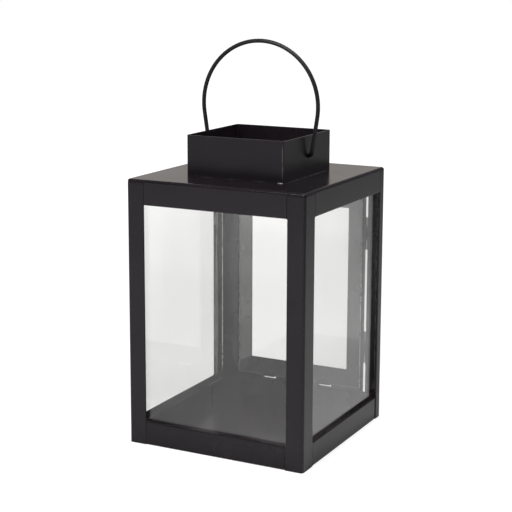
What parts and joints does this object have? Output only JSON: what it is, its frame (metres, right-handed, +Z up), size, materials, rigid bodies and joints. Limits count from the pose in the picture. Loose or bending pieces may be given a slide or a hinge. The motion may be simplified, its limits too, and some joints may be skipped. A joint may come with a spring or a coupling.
{
  "type": "candle lantern",
  "caption": "Square black sheet-metal candle lantern with clear panes, a hinged glazed rear door, an open square chimney collar and a swinging wire bail.",
  "frame": {"origin": "middle of the tray's underside, on the surface the lantern stands on", "axes": "+Z up; the front pane faces -Y, the glazed door is at +Y and its hinges are on the +X side"},
  "size_m": [0.14, 0.1433, 0.2925],
  "materials": {
    "black_steel": "satin",
    "clear_glass": "polished",
    "bare_steel": "plain"
  },
  "bodies": {
    "lantern": {"base_tray": "black_steel", "roof_lid": "black_steel", "front_left_post": "black_steel", "front_right_post": "black_steel", "rear_left_post": "black_steel", "rear_right_post": "black_steel", "chimney_collar": "black_steel", "front_glass": "clear_glass", "left_glass": "clear_glass", "right_glass": "clear_glass", "upper_hinge_post_leaf": "black_steel", "upper_hinge_pin": "bare_steel", "lower_hinge_post_leaf": "black_steel", "lower_hinge_pin": "bare_steel", "latch_rivet": "black_steel", "latch_washer": "bare_steel"},
    "door": {"door_frame": "black_steel", "door_glass": "clear_glass", "upper_hinge_door_leaf": "black_steel", "lower_hinge_door_leaf": "black_steel"},
    "bail": {"bail_handle": "black_steel"},
    "latch": {"door_latch": "black_steel"}
  },
  "joints": [
    {"name": "door_hinge", "type": "hinge", "parent": "lantern", "child": "door", "pos_m": [0.0562, 0.0715, 0.09775], "axis": [0, 0, -1], "range_deg": [0, 170]},
    {"name": "bail_swing", "type": "hinge", "parent": "lantern", "child": "bail", "pos_m": [0, 0, 0.2105], "axis": [1, 0, 0], "range_deg": [-100, 100]},
    {"name": "latch_turn", "type": "hinge", "parent": "lantern", "child": "latch", "pos_m": [-0.0642, 0.0714, 0.09775], "axis": [0, -1, 0], "range_deg": [0, 90]}
  ]
}
